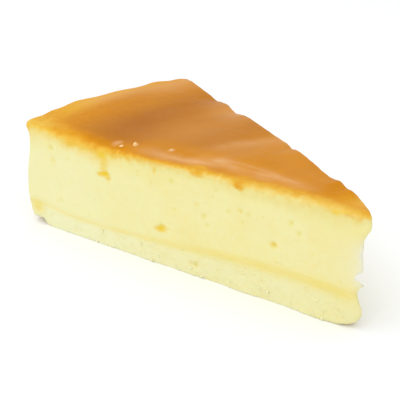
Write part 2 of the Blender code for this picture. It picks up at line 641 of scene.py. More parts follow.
@dataclass(frozen=True)
class BeadFinish(Finish):
    """Clear glaze over the browned top, with air in it, and pale spots that are partly painted glints."""

    # Pale peach: partly the air in the glaze, partly a painted glint of light on the beads.
    light: Colour = srgb(246, 204, 140)
    amber: Colour = srgb(230, 170, 88)

    def material(self) -> bpy.types.Material:
        """Makes it glossy, and paler in spots, which are partly painted glints.

        Returns:
            The material.
        """
        g = Graph("glaze_bead", {
            "Coat Weight": 0.6,
            "Coat Roughness": 0.2,
            "Specular IOR Level": 0.3,
            "Subsurface Weight": 0.3,
            "Subsurface Radius": (1.0, 0.6, 0.3),
            "Subsurface Scale": 1.0 * MM,
        })
        spots = g.noise(1.1, 2)
        return g.finish(
            Base_Color=g.mix(spots.step(0.45, 0.7), self.light, self.amber),
            Roughness=0.3 + spots * 0.1,
            Normal=g.bump(spots, 0.03),
        )


@dataclass(frozen=True)
class FloorFinish(Finish):
    """Plain white card, matt and barely clouded."""

    white: Colour = (0.95, 0.96, 0.98, 1.0)
    shade: Colour = (0.94, 0.95, 0.97, 1.0)

    def material(self) -> bpy.types.Material:
        """The material."""
        g = Graph("floor", {"Roughness": 0.9})
        return g.finish(Base_Color=g.mix(g.noise(60, 2), self.white, self.shade))


# ------------------------------------------------------------
# The slice's form


@dataclass(frozen=True)
class Places:
    """Points of a layer, where each lies on the slice, and how far it belongs to each face, from 0 to 1."""

    points: Array
    normals: Array
    radius: Array
    turn: Array
    from_near: Array
    from_far: Array
    facing: dict[Face, Array]

    @property
    def height(self) -> Array:
        """The points' heights."""
        return self.points[:, 2]


@dataclass(frozen=True)
class SliceForm:
    """The shape that the layers share: its rim, its tip, its seam and its top.

    Rises and dips of the rim's lip are placed by turn, those of the rim's wall and of the tip's tear by
    height, and those of the top, the seam and the far edge by the distance from the cake's middle. The tear
    drops by tear_drop for each millimetre towards the far cut. A point belongs to a face once the face's
    normal makes up facing_from of the point's, and wholly from facing_fully.
    """

    middle_x: float
    half_angle: float = math.radians(15.5)
    cake_radius: float = 124.8
    rim_corner: float = 2.4
    rim_corner_sharpness: int = 8
    rim_ripple: float = 0.5
    rim_ripples_to_a_cut: float = 0.8
    rim_creases: float = 0.3
    rim_slump: Rise = Rise(12.6, 11.5, 3.0)
    rim_dent: Rise = Rise(15, 5, -0.3)
    lip_height: float = 34.6
    lip_reach: float = 2.6
    lip: float = 0.5
    lip_bulges: tuple[Rise, ...] = (
        Rise(-0.92, 0.1, 1.5), Rise(-0.62, 0.1, 0.9), Rise(-0.3, 0.2, 2.9), Rise(0.2, 0.14, 0.5),
        Rise(0.66, 0.13, 1.9), Rise(0.93, 0.1, 1.5),
    )
    tip_radius_near: float = 10.0
    tip_slant: float = math.radians(49)
    tip_lean: float = 1.36
    tip_lean_at_foot: float = 0.25
    tip_leans_from: float = 26.8
    tip_leans_fully: float = 31.0
    tip_rounding_near: float = 2.8
    tip_rounding_far: float = 4.4
    tear_drop: float = 0.5
    tear_notch: Rise = Rise(15.1, 1.15, 2.2)
    tear_roughness: float = 0.12
    tear: tuple[Rise, ...] = (
        Rise(17.6, 2.4, 0.45), Rise(13.1, 0.75, 1.0), Rise(9.9, 1.4, -0.45), Rise(4.6, 3.0, 0.95),
    )
    top: float = 34.7
    crown_at_near: Rise = Rise(55, 30, 0.2)
    crown_at_far: Rise = Rise(63, 24, 0.95)
    rolled: Rise = Rise(56, 34, 0.6)
    rolled_width: float = 5.0
    swell: float = 0.2
    wave: float = 0.13
    wave_length: float = 13.0
    seam_low: float = 6.5
    seam_at_tip: float = 10.7
    seam_rises_from: float = 96.0
    seam_rises_to: float = 34.0
    seam_lifts: tuple[Rise, ...] = (Rise(124.8, 10, 1.4), Rise(84, 12, 0.45), Rise(14, 3.5, -0.6))
    seam_wander: float = 0.12
    far_edge_raised: float = 1.15
    far_edge_sunk: float = 0.05
    far_edge_width: float = 4.5
    far_edge_raggedness: float = 0.12
    scallops: tuple[Rise, ...] = (
        Rise(22.0, 2.0, 0.35), Rise(28.0, 2.2, 0.8), Rise(48.0, 2.0, 0.15), Rise(53.0, 1.8, -0.55),
        Rise(88.5, 2.2, -0.3), Rise(94.6, 3.6, 0.65), Rise(103.0, 3.0, -0.4), Rise(114.0, 3.0, 0.25),
        Rise(121.0, 3.5, 0.45),
    )
    facing_from: float = 0.45
    facing_fully: float = 0.85
    noise: SmoothNoise = field(default_factory=lambda: SmoothNoise(3))

    @classmethod
    def from_frame(cls) -> "SliceForm":
        """Places the form by the frame: the custard's solid reaches back as far as its rim slumps out.

        Returns:
            The form.
        """
        turn = np.linspace(-1, 1, 201)
        form = cls(middle_x=0.0)
        outline = form.arc_of_rim(turn) + form.rim_slump.height
        reach = np.max(outline * np.cos(turn * form.half_angle))
        return cls(middle_x=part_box("custard")[0].x / MM + reach)

    def point(self, radius: Array, angle: Array, height: Array) -> Array:
        """Points from their distance and angle about the cake's middle, and their height."""
        return np.stack([self.middle_x - radius * np.cos(angle), radius * np.sin(angle), height], axis=-1)

    def places(self, points: Array, normals: Array) -> Places:
        """Where points lie on the slice, and which faces they belong to from the way their normals point.

        Args:
            points: places, one a row.
            normals: unit normals, one a row.

        Returns:
            The points with their places.
        """
        back = self.middle_x - points[:, 0]
        radius, turn = np.hypot(back, points[:, 1]), np.arctan2(points[:, 1], back) / self.half_angle
        radial = (normals[:, 1] * points[:, 1] - normals[:, 0] * back) / radius
        sine, cosine = math.sin(self.half_angle), math.cos(self.half_angle)
        towards = {
            Face.NEAR: normals @ np.array([sine, -cosine, 0.0]),
            Face.FAR: normals @ np.array([sine, cosine, 0.0]),
            Face.RIM: radial,
            Face.TIP: -radial,
            Face.TOP: normals[:, 2],
        }
        facing = {
            face: eased(share, self.facing_from, self.facing_fully) for face, share in towards.items()
        }
        return Places(points, normals, radius, turn, *self.from_cuts(radius, turn), facing)

    def from_cuts(self, radius: Array, turn: Array) -> tuple[Array, Array]:
        """How far in a place lies from the near cut and from the far cut, along its arc."""
        return radius * self.half_angle * (1 + turn), radius * self.half_angle * (1 - turn)

    def wander(self, first: Array, second: Array, size: float, seed: float) -> Array:
        """Noise on two measures, which differs for each seed."""
        places = np.stack([first, second, np.full_like(first, seed)], axis=-1)
        return self.noise.at(places, (size, size, 1.0))

    def waves(self, points: Array) -> Array:
        """The gentle unevenness of every face, the same in each layer."""
        return self.wave * self.noise.layered(points, self.wave_length, 3)

    def arc_of_rim(self, turn: Array) -> Array:
        """The rim's distance before it slumps: drawn-in corners, and one slow ripple between them.

        Args:
            turn: turns off the middle plane.

        Returns:
            A distance from the cake's middle for each turn.
        """
        corner = self.rim_corner * (1 - np.abs(turn) ** self.rim_corner_sharpness)
        ripple = np.sin(2 * math.pi * self.rim_ripples_to_a_cut * turn) * (1 - turn ** 2)
        return self.cake_radius + corner + self.rim_ripple * ripple

    def rim_radius(self, height: Array, turn: Array) -> Array:
        """The rim's distance: its arc and slump, an uneven lip at the top, and shallow upright creases.

        Args:
            height: heights.
            turn: turns off the middle plane.

        Returns:
            A distance from the cake's middle for each place.
        """
        lip = (self.lip + risen(turn, self.lip_bulges)) * hump(height, self.lip_height, self.lip_reach)
        creases = self.rim_creases * self.wander(turn * 34, height * 0.25, 7, 0.5) * (1 - turn ** 4)
        return self.arc_of_rim(turn) + self.rim_slump.at(height) + lip + creases + self.rim_dent.at(height)

    def tip_radius(self, height: Array, turn: Array, draw: Amount) -> Array:
        """The blunt tip's distance.

        The end is a plane at a slant, in polar coordinates: its setback over the cosine of the angle off its
        normal. It leans out at the top. The tear across it is a notch over a lump, with a dent at the seam.
        A quarter ellipse rounds the end into each cut.

        Args:
            height: heights.
            turn: turns off the middle plane.
            draw: how far it is drawn in along the end's normal.

        Returns:
            A distance from the cake's middle for each place.
        """
        square_on = self.tip_radius_near * math.cos(self.tip_slant - self.half_angle)
        off_normal = self.tip_slant + turn * self.half_angle
        towards_far = np.tan(off_normal) - math.tan(self.tip_slant)
        level = height + self.tear_drop * square_on * (towards_far + 0.17)
        leans = self.tip_lean * eased(height, self.tip_leans_from, self.tip_leans_fully)
        torn = self.tear_roughness * self.wander(turn * 3, height, 2.6, 1.5)
        into_near, into_far = np.clip((-0.3 - turn) / 0.7, 0, 1), np.clip((turn + 0.1) / 1.1, 0, 1)
        rounding = self.tip_rounding_near * (1 - np.sqrt(1 - into_near ** 2))
        rounding = rounding + self.tip_rounding_far * (1 - np.sqrt(1 - into_far ** 2))
        notched = hump(level, self.tear_notch.centre, self.tear_notch.spread)
        notch = np.clip(self.tear_notch.height - rounding, 0, None) * notched
        setback = square_on - (self.tip_lean_at_foot + leans) + notch - risen(level, self.tear) + torn + draw
        return setback / np.cos(off_normal) + rounding

    def seam_height(self, radius: Array) -> Array:
        """The seam's height: low along the slice, and rising towards the tip.

        Args:
            radius: distances from the cake's middle.

        Returns:
            A height for each distance.
        """
        rise = eased(radius, self.seam_rises_from, self.seam_rises_to)
        wander = self.seam_wander * self.wander(radius, radius * 0, 9, 2.5)
        return between(self.seam_low, self.seam_at_tip, rise) + risen(radius, self.seam_lifts) + wander

    def soaked(self, radius: Array, height: Array) -> Array:
        """How soaked the seam's surroundings are: most near the tip, and fading faster upwards than down.

        Args:
            radius: distances from the cake's middle.
            height: heights.

        Returns:
            A value for each place, from 0 to about 1.
        """
        tipwards = eased(radius, 108, 32)
        above = height - self.seam_height(radius)
        reach = between(0.8, 1.6, tipwards) * np.where(above > 0, 1.0, 1.3)
        ends = between(0.3, 1.0, eased(radius, 9, 15)) * (1 - 0.25 * eased(radius, 108, 120))
        patch = (1 - 0.16 * hump(radius, 44, 9)) * (1 + 0.25 * self.wander(radius, height, 5, 7.5))
        corner = hump(radius, 124, 2.8) * hump(height, 5.9, 2.6)
        return between(0.5, 1.0, tipwards) * ends * patch * hump(above, 0.0, reach) + corner

    def banded(self, radius: Array, height: Array) -> Array:
        """1 where the soaked skin's band covers the other layers, and 0 from a little beyond its edges."""
        return 1 - eased(np.abs(height - self.seam_height(radius) + 0.1), 0.5, 1.1)

    def deepness(self, radius: Array) -> Array:
        """How deep the yellow of both layers is: more and more towards the tip."""
        return 1 - 0.6 * eased(radius, 60, 112) - 0.4 * eased(radius, 8, 32)

    def top_height(self, radius: Array, turn: Array) -> Array:
        """The top's height: nearly level, proud mid-way, and at the far cut as uneven as that edge.

        Args:
            radius: distances from the cake's middle.
            turn: turns off the middle plane.

        Returns:
            A height for each place.
        """
        from_near, from_far = self.from_cuts(radius, turn)
        near, far = self.top + self.crown_at_near.at(radius), self.top + self.crown_at_far.at(radius)
        rolled = self.rolled.at(radius) * hump(from_near, 0, self.rolled_width)
        swell = self.swell * self.wander(radius, turn * radius * self.half_angle, 16, 4.5)
        broad = between(near, far, (1 + turn) / 2) - rolled + swell
        return between(broad, self.far_edge(radius), hump(from_far, 0, self.far_edge_width))

    def far_edge(self, radius: Array) -> Array:
        """The height of the top's edge at the far cut: a raised middle between low ends, and scallops.

        Args:
            radius: distances from the cake's middle.

        Returns:
            A height for each place.
        """
        raised = self.far_edge_raised * eased(radius, 33, 46) * eased(radius, 90, 79) - self.far_edge_sunk
        ragged = self.far_edge_raggedness * self.wander(radius, radius * 0, 2.3, 3.5)
        return self.top + raised + risen(radius, self.scallops) + ragged


# ------------------------------------------------------------
# The layers


@dataclass(frozen=True)
class RoundedWall:
    """A layer's profile: a rounded foot, a straight wall and a rounded brow, one value for each step up."""

    foot_steps: int
    wall_steps: int
    brow_steps: int

    @property
    def steps(self) -> int:
        """Steps from the underside to the upper side."""
        return self.foot_steps + self.wall_steps + self.brow_steps

    def shares(self) -> dict[str, Array]:
        """The profile.

        Returns:
            share: the way up from the lower to the upper surface. foot and brow: how much of their heights
            is added and taken off. foot_draw and brow_draw: how much of their widths the outline draws in.
            On a quarter round at angle a, the height is 1 - cos a and the draw 1 - sin a.
        """
        foot = np.linspace(0, math.pi / 2, self.foot_steps, endpoint=False)
        brow = np.linspace(0, math.pi / 2, self.brow_steps, endpoint=False)[::-1]
        wall = np.linspace(0, 1, self.wall_steps + 1)
        stretches = {
            "share": (foot * 0, wall, brow * 0 + 1),
            "foot": (1 - np.cos(foot), 1 - wall, brow * 0),
            "brow": (foot * 0, wall, 1 - np.cos(brow)),
            "foot_draw": (1 - np.sin(foot), wall * 0, brow * 0),
            "brow_draw": (foot * 0, wall * 0, 1 - np.sin(brow)),
        }
        return {name: np.concatenate(parts) for name, parts in stretches.items()}


@dataclass(frozen=True)
class Round:
    """The size of a rounded edge: its height, and how far it draws in each cut, the rim and the tip."""

    height: Amount
    near: Amount
    far: Amount
    rim: Amount
    tip: Amount

    @classmethod
    def even(cls, size: float) -> "Round":
        """An edge that is as high as it is wide, and the same on all sides."""
        return cls(height=size, near=size, far=size, rim=size, tip=size)


@dataclass(frozen=True)
class Layer:
    """One layer of the slice: a block grid bent into shape.

    Its underside lies a distance below the seam and its upper side a distance above, its edges have a small
    rounding, and it is let in where the soaked skin's band covers it, unless its kind says otherwise.
    """

    form: SliceForm
    piece: str
    slot: str
    replaces: tuple[str, ...]
    along: int
    across: int
    wall: RoundedWall
    below: float = 0.0
    above: float = 0.0
    rounding: float = 0.05
    let_in: float = 0.06

    def low(self, radius: Array, turn: Array) -> Array:
        """Height of the underside."""
        return self.form.seam_height(radius) - self.below

    def high(self, radius: Array, turn: Array) -> Array:
        """Height of the upper side."""
        return self.form.seam_height(radius) + self.above

    def foot(self, radius: Array, turn: Array) -> Round:
        """The rounded edge round the underside."""
        return Round.even(self.rounding)

    def brow(self, radius: Array, turn: Array) -> Round:
        """The rounded edge round the upper side."""
        return Round.even(self.rounding)

    def unevenness(self, at: Places) -> Array:
        """How far each place stands out of the layer's waves."""
        return np.zeros_like(at.radius)

    def relief(self, at: Places) -> Array:
        """How far each place stands out along its normal, and is let in under the soaked skin's band."""
        band = self.form.banded(at.radius, at.height)
        return self.form.waves(at.points) + self.unevenness(at) * (1 - band) - self.let_in * band

    def masks(self, at: Places) -> dict[Mask, Array]:
        """The masks that every layer carries, one value for each place."""
        soaked, deep = self.form.soaked(at.radius, at.height), self.form.deepness(at.radius)
        return {Mask.SOAKED: soaked, Mask.DEEP: deep, Mask.RIND: at.facing[Face.RIM]}

    def smooth_points(self) -> tuple[Array, Array]:
        """The layer before its relief.

        The rim and tip are read at each point's height; the outline is drawn in there and at the cuts by the
        rounded edges; a point lies its share of the way from the underside to the upper side, with the
        heights of the rounded edges added at the foot and taken off at the brow.

        Returns:
            The points, and the faces as four corners each.
        """
        grid = BlockGrid(self.along, self.across, self.wall.steps)
        along, across, up = grid.places()
        step = {name: values[up] for name, values in self.wall.shares().items()}
        out = 1 - along / self.along
        even = across / self.across - 0.5
        turn = (2 * even + np.sin(math.pi * even)) / 2
        half = self.form.half_angle

        def height_at(radius: Array) -> Array:
            """The heights of the points, were they at other distances from the cake's middle.

            Args:
                radius: a distance for each point.

            Returns:
                A height for each point.
            """
            flat = between(self.low(radius, turn), self.high(radius, turn), step["share"])
            lifted = self.foot(radius, turn).height * step["foot"]
            return flat + lifted - self.brow(radius, turn).height * step["brow"]

        radius = between(self.form.tip_radius_near, self.form.cake_radius, out)
        height = height_at(radius)
        foot, brow = self.foot(radius, turn), self.brow(radius, turn)
        draw = {
            side: getattr(foot, side) * step["foot_draw"] + getattr(brow, side) * step["brow_draw"]
            for side in ("near", "far", "rim", "tip")
        }
        inner = self.form.tip_radius(height, turn, draw["tip"])
        outer = self.form.rim_radius(height, turn) - draw["rim"]
        radius = between(inner, outer, out)
        most = 0.45 * half * radius
        near = -half + np.minimum(draw["near"], most) / radius
        far = half - np.minimum(draw["far"], most) / radius
        angle = between(near, far, (1 + turn) / 2)
        return self.form.point(radius, angle, height_at(radius)), grid.quads()

    def surface(self) -> tuple[Places, Array]:
        """The finished layer: the smooth one, moved along its normals by the relief, but level underneath.

        Returns:
            The points with the smooth layer's normals, and the faces as four corners each.
        """
        points, quads = self.smooth_points()
        normals = normals_of(points, quads)
        shift = normals * self.relief(self.form.places(points, normals))[:, None]
        shift[:, 2] *= eased(points[:, 2], 0.0, 0.8)
        return self.form.places(points + shift, normals), quads

    def build(self, finish: Finish) -> bpy.types.Object:
        """Makes the layer.

        Args:
            finish: its finish.

        Returns:
            The layer as one object.
        """
        at, quads = self.surface()
        piece = mesh_piece(self.piece, at.points, quads, self.masks(at))
        return settled(piece, finish, self.slot, *self.replaces)


def settled(piece: bpy.types.Object, finish: Finish, slot: str, *nodes: str) -> bpy.types.Object:
    """Finishes a piece, makes it ride on the slice, and hides the solids it replaces.

    Args:
        piece: the piece.
        finish: its finish.
        slot: the material slot it takes its finish from; not used.
        nodes: the solids it stands for, if any.

    Returns:
        The piece.
    """
    piece.data.materials.append(finish.material())
    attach(piece, "root")
    if nodes:
        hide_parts(*nodes)
    log.info("%s: %d faces", piece.name, len(piece.data.polygons))
    return piece


@dataclass(frozen=True)
class Stations:
    """Measures along the slice, in rows of a distance from the cake's middle and the values there."""

    rows: tuple[tuple[float, ...], ...]

    def at(self, radius: Array) -> list[Array]:
        """Each measure at each distance, interpolated between the rows."""
        places, *measures = zip(*self.rows)
        return [np.interp(radius, places, values) for values in measures]


@dataclass(frozen=True)
class Drip:
    """A short drip of brown over the near edge: its distance along, half width, length and strength."""

    radius: float
    half_width: float
    length: float
    strength: float

    def poured(self, radius: Array, inwards: Array) -> Array:
        """How far it browns each place, where inwards is negative down the cut."""
        reached = eased(inwards, -self.length, 1.5 - self.length)
        return self.strength * hump(radius, self.radius, self.half_width) * reached

    def behind(self, radius: Array, from_near: Array) -> Array:
        """1 on the top just above the drip, and 0 from a little beyond it."""
        return hump(radius, self.radius, 1.3 * self.half_width) * eased(from_near, 5.5, 2.5)


@dataclass(frozen=True)
class Custard(Layer):
    """The baked custard with its browned top, which is rolled over at the edges.

    Pits and stains are placed along and up the near cut, and the spots of the top along and in from it. The
    fringe's measures are the browning at the near edge, as the logistic function's argument, and how fast it
    changes a millimetre down the cut and a millimetre inwards. Those of the band of painted sheen are how
    far in it lies, its spread and its strength.
    """

    piece: str = "custard_body"
    slot: str = "custard"
    replaces: tuple[str, ...] = ("custard",)
    along: int = 240
    across: int = 110
    wall: RoundedWall = RoundedWall(foot_steps=2, wall_steps=46, brow_steps=10)
    brow_height: float = 1.3
    brow_width: float = 1.8
    brow_heightened: Rise = Rise(100, 15, 1.7)
    brow_widened: tuple[Rise, ...] = (Rise(100, 17, 3.2), Rise(55, 20, 0.8))
    plain_brow: Round = Round(height=0.9, near=1.0, far=0.9, rim=1.5, tip=1.9)
    brow_height_at_far: float = 0.8
    near_pits: tuple[Spot, ...] = (
        pit(116.3, 28.8, 0.8, 0.4), pit(115.8, 24.6, 1.1, 0.3), pit(113.7, 10.9, 0.6, 0.3),
        pit(94.6, 25.2, 1.0, 0.5), pit(76.3, 30.8, 0.6, 0.4), pit(74.2, 12.9, 1.0, 0.6),
        pit(70.3, 28.8, 0.7, 0.4), pit(59.1, 20.7, 0.8, 0.4), pit(57.8, 18.2, 0.6, 0.3),
        pit(55.0, 30.0, 0.6, 0.3), pit(61.5, 23.8, 0.6, 0.35), pit(50.8, 24.6, 0.6, 0.3),
        pit(47.0, 25.7, 0.7, 0.4), pit(44.5, 25.2, 0.6, 0.35), pit(36.2, 18.4, 0.8, 0.5),
        pit(31.2, 26.6, 0.8, 0.4), pit(28.7, 24.0, 0.7, 0.35),
    )
    stains: tuple[Spot, ...] = (
        Spot(95.6, 30.4, 2.2, 1.8, 0.7), Spot(95.1, 28.2, 1.6, 1.6, 0.58), Spot(95.4, 26.2, 1.6, 1.5, 0.55),
        Spot(95.3, 24.8, 2.2, 0.9, 1.0), Spot(93.8, 23.8, 1.0, 0.8, 0.85), Spot(97.0, 24.5, 0.9, 0.7, 0.85),
        Spot(74.6, 12.1, 1.9, 0.9, 0.9), Spot(73.2, 12.9, 1.2, 0.7, 0.9), Spot(36.2, 18.3, 1.1, 0.9, 0.5),
        Spot(18.5, 33.4, 1.4, 0.8, 0.6), Spot(16.8, 34.1, 1.0, 0.8, 0.5), Spot(76.3, 30.9, 0.6, 1.2, 0.65),
    )
    near_fringe: Stations = Stations((
        (20, -0.85, 0.58, 0.58), (28, -1.1, 0.58, 0.58), (40, -1.1, 0.65, 0.65), (50, -0.65, 0.8, 0.8),
        (58, -1.0, 0.9, 1.0), (62, -0.2, 1.1, 1.0), (66, -0.1, 1.25, 1.1), (70, 0.45, 1.3, 1.0),
        (75, 0.95, 1.2, 0.9), (80, 1.5, 1.45, 0.9), (86, 1.75, 1.3, 0.8), (92, 1.5, 1.05, 0.6),
        (98, 1.15, 0.75, 0.6), (102, 1.1, 0.85, 0.55), (106, 0.35, 0.85, 0.5), (110, 0.45, 0.85, 0.5),
        (114, 0.15, 0.95, 0.42), (118, -0.35, 0.95, 0.3), (122, -0.8, 0.8, 0.2),
    ))
    near_sag: Spot = Spot(106.5, -2.9, 4.0, 1.4, 1.35)
    drips: tuple[Drip, ...] = (
        Drip(47.8, 1.9, 2.7, 1.0), Drip(61.5, 2.0, 2.2, 0.55), Drip(12.0, 4.0, 2.7, 0.3),
    )
    # The band of painted sheen inside the near edge: how far in it lies, its spread and its strength.
    sheen_band: Stations = Stations((
        (25, 6.0, 3.1, 0.0), (36, 6.2, 3.1, 0.7), (46, 6.9, 3.1, 0.75), (52, 6.8, 3.1, 0.45),
        (56, 6.5, 3.1, 0.65), (60, 7.0, 3.2, 1.2), (66, 5.1, 2.6, 0.85), (70, 3.7, 2.1, 0.85),
        (75, 3.6, 2.4, 1.1), (80, 3.8, 2.8, 0.55), (88, 3.0, 3.0, 0.0),
    ))
    # Broad patches of painted reflection over the middle of the top.
    sheen_veils: tuple[Spot, ...] = (
        Spot(80, 22, 11, 12, 0.2), Spot(60, 17, 6, 9, 0.22), Spot(37, 16, 9, 6, 0.14),
    )
    # Painted glints: small pale spots of painted highlight on the top.
    painted_glints: tuple[Spot, ...] = (Spot(92.6, 3.8, 1.4, 1.9, 0.7), Spot(75.6, 7.4, 0.85, 1.1, 1.0))
    roast_patches: tuple[Spot, ...] = (Spot(98, 18, 8, 16, 0.2), Spot(63, 11, 8, 5, -0.1))

    def high(self, radius: Array, turn: Array) -> Array:
        """The top."""
        return self.form.top_height(radius, turn)

    def brow(self, radius: Array, turn: Array) -> Round:
        """The top's edge, rolled over on the near cut, most of all a little in from the rim's corner.

        Args:
            radius: distances from the cake's middle.
            turn: turns off the middle plane.

        Returns:
            The rounded edge.
        """
        into_corner, plain = eased(radius, 114, 124), self.plain_brow
        high = between(self.brow_height + self.brow_heightened.at(radius), plain.height, into_corner)
        wide = between(self.brow_width + risen(radius, self.brow_widened), plain.near, into_corner)
        height = between(high, self.brow_height_at_far, eased(turn, -0.6, 0.6))
        return Round(height=height, near=wide, far=plain.far, rim=plain.rim, tip=plain.tip)

    def unevenness(self, at: Places) -> Array:
        """Knife drags and pits on the cuts, a brushed glaze on the top, a torn tip, and the skin's puckers.

        Args:
            at: the places.

        Returns:
            How far each place stands out.
        """
        noise, facing = self.form.noise, at.facing
        drag = 0.05 * noise.at(at.points, (1.3, 1.3, 11)) * (facing[Face.NEAR] + facing[Face.FAR])
        far_pits = scattered_pits(21, 90, (20, 122), (12, 32), (0.35, 1.1))
        fine_pits = scattered_pits(22, 110, (14, 120), (12, 31), (0.3, 0.55))
        pits = strongest([*self.near_pits, *fine_pits], at.radius, at.height) * facing[Face.NEAR]
        pits = pits + strongest(far_pits, at.radius, at.height) * facing[Face.FAR]
        brushed = 0.04 * noise.at(at.points, (11, 2.4, 5)) * facing[Face.TOP]
        torn = 0.15 * noise.layered(at.points, 2.4, 2) * facing[Face.TIP]
        near_top = 1 - eased(self.form.top_height(at.radius, at.turn) - at.height, 1.5, 4.5)
        puckers = 0.14 * noise.at(at.points, 2.4) * (1 - facing[Face.TOP]) * near_top
        return drag - pits + brushed + torn + puckers

    def masks(self, at: Places) -> dict[Mask, Array]:
        """What the custard's material reads.

        Args:
            at: the places.

        Returns:
            A value for each place, for each mask.
        """
        radius, height, shared = at.radius, at.height, super().masks(at)
        near_tip = np.exp(-np.clip(radius - self.form.tip_radius_near, 0, None) / 3.0)
        mid_way = eased(height, 10, 16) * eased(height, 30, 23)
        under_top = 0.8 * eased(radius, 62, 82) * hump(height, 32, 4.5)
        uneven = 1 + 0.4 * self.form.noise.at(at.points, 0.9)
        return {
            **shared,
            Mask.BROWNED: self.browned(at),
            Mask.RIM_END: eased(radius, 76, 96),
            Mask.ROAST: self.roast(at),
            # Painted sheen and glints on the top.
            Mask.PAINTED_SHEEN: self.painted_sheen(at),
            Mask.DEEP: shared[Mask.DEEP] + under_top,
            Mask.PALE: np.clip(near_tip + at.facing[Face.TIP], 0, 1) * mid_way,
            Mask.STAIN: strongest(self.stains, radius, height, 1.5) * uneven * at.facing[Face.NEAR],
            # The pits of the near cut, painted darker as painted shade.
            Mask.PORE_SHADE: strongest(self.near_pits, radius, height) / 0.5 * at.facing[Face.NEAR],
        }

    def browned(self, at: Places) -> Array:
        """How brown each place is: the logistic function of the least of four curves, one for each edge.

        Each runs over the way across its edge of the top, which is negative down the face below the edge and
        counts inwards above it.

        Args:
            at: the places.

        Returns:
            A value for each place, from 0 to 1.
        """
        form, elsewhere = self.form, 1000
        depth = form.top_height(at.radius, at.turn) - at.height
        ragged = 0.55 * form.noise.at(at.points, 2.6) + 0.45 * form.noise.at(at.points + elsewhere, 1.1)
        from_rim = form.rim_radius(at.height, at.turn) - at.radius
        from_tip = at.radius - form.tip_radius(at.height, at.turn, 0.0)
        ways_in = (at.from_near, at.from_far, from_rim, from_tip)
        near, far, rim, tip = (way - depth + ragged for way in ways_in)
        curves = [self.near_curve(at.radius, near), (far + 1.6) / 0.8, rim + 2.2, (tip - 0.1) / 0.6]
        return 1 / (1 + np.exp(-np.clip(np.min(curves, axis=0), -30, 30)))

    def near_curve(self, radius: Array, inwards: Array) -> Array:
        """The browning across the near edge, from the fringe's stations, a sag and the drips.

        Args:
            radius: distances from the cake's middle.
            inwards: the way across the edge, negative down the cut.

        Returns:
            The logistic function's argument for each place.
        """
        level, fall, rise = self.near_fringe.at(radius)
        curve = level + inwards * np.where(inwards < 0, fall, rise) + self.near_sag.at(radius, inwards)
        poured = sum(drip.poured(radius, inwards) for drip in self.drips)
        return curve + poured * np.clip(0.85 - curve, 0, None)

    def roast(self, at: Places) -> Array:
        """How dark the top baked: in rings about the cake's middle, darkest well in from the rim.

        The rim is painted light, as paler browning together with a painted highlight on its rounded edge,
        and the ring inside it orange, then comes the dark ring, which is strongest near the near cut, and
        inside that the top is of a middling brown. Noise drawn out along the rings streaks it.

        Args:
            at: the places.

        Returns:
            A value for each place, from about 0 to 1.
        """
        radius, from_near, wander = at.radius, at.from_near, self.form.wander
        arc = at.turn * radius * self.form.half_angle
        slanted = radius - 0.14 * (from_near - 24)
        # Lighter at the rim: paler browning together with a painted highlight on the rounded rim.
        rim = 0.4 * eased(slanted, 116, 129)
        ring = 0.36 * eased(slanted, 117.5, 99.5) * eased(slanted, 82, 98)
        edge = 0.4 * eased(from_near, 9, 1) * eased(radius, 78, 92)
        edge = edge + 0.2 * eased(from_near, 4.5, 0.5) * hump(radius, 62, 9)
        middle = 0.09 * eased(from_near, 9, 15) * hump(radius, 60, 22)
        middle = middle + 0.28 * hump(radius, 76, 13) * eased(from_near, 6, 18)
        tip = 0.5 * eased(radius, 26, 12)
        patches = sum(spot.at(radius, from_near) for spot in self.roast_patches)
        patches = patches - 0.3 * self.above_drips(at)
        streaks = 0.07 * wander(radius, arc * 0.16, 3.8, 8.5) + 0.08 * wander(radius, arc * 0.5, 11, 9.5)
        return 0.36 + ring + middle + patches - edge - rim - tip + streaks

    def above_drips(self, at: Places) -> Array:
        """1 on the top just above a drip, and 0 from a little beyond it."""
        return sum(drip.behind(at.radius, at.from_near) for drip in self.drips)

    def painted_sheen(self, at: Places) -> Array:
        """Where sheen is painted on the top: a paler, pinker colour that stands in for reflected light and
        glints, with a slightly stronger coat there.

        The painted sheen lies in a streaked band inside the near edge with a rill beside it, in veils and a
        slanting streak over the middle, along the far edge, at the rim's far corner, at both ends and in
        small glint spots.

        Args:
            at: the places.

        Returns:
            A value for each place, from 0 to about 1.
        """
        radius, from_near, from_far = at.radius, at.from_near, at.from_far
        inward, spread, strength = self.sheen_band.at(radius)
        band = 0.95 * strength * hump(from_near, inward, spread) * (1 - 0.75 * self.above_drips(at))
        rill_inward = 10 - 2.8 * ((63 - radius) / 30) ** 2
        rill = 0.3 * hump(from_near, rill_inward, 0.8) * hump(radius, 48, 14)
        veiled_sheen = sum(spot.at(radius, from_near) for spot in self.sheen_veils)
        streak = 0.4 * hump(radius + 0.45 * from_near, 73.4, 3.4) * hump(from_near, 24, 11)
        edge = (0.5 * hump(radius, 88, 12) + 0.25 * hump(radius, 54, 10)) * hump(from_far, 0, 9)
        corner = 0.24 * hump(radius, 119, 5) * eased(from_far, 26, 8)
        ends = 0.4 * hump(radius, 124, 4) * eased(from_near, 16, 32) + 0.35 * eased(radius, 19, 12)
        broken = 0.85 + 0.55 * self.form.wander(radius * 0.35, from_near, 2.2, 10.5)
        # Pale spots of painted highlight where glints stand.
        glint_share = strongest(self.painted_glints, radius, from_near, 2.0)
        streaked = (band + 0.7 * streak) * broken + 0.3 * streak + rill
        return streaked + veiled_sheen + edge + corner + ends + glint_share


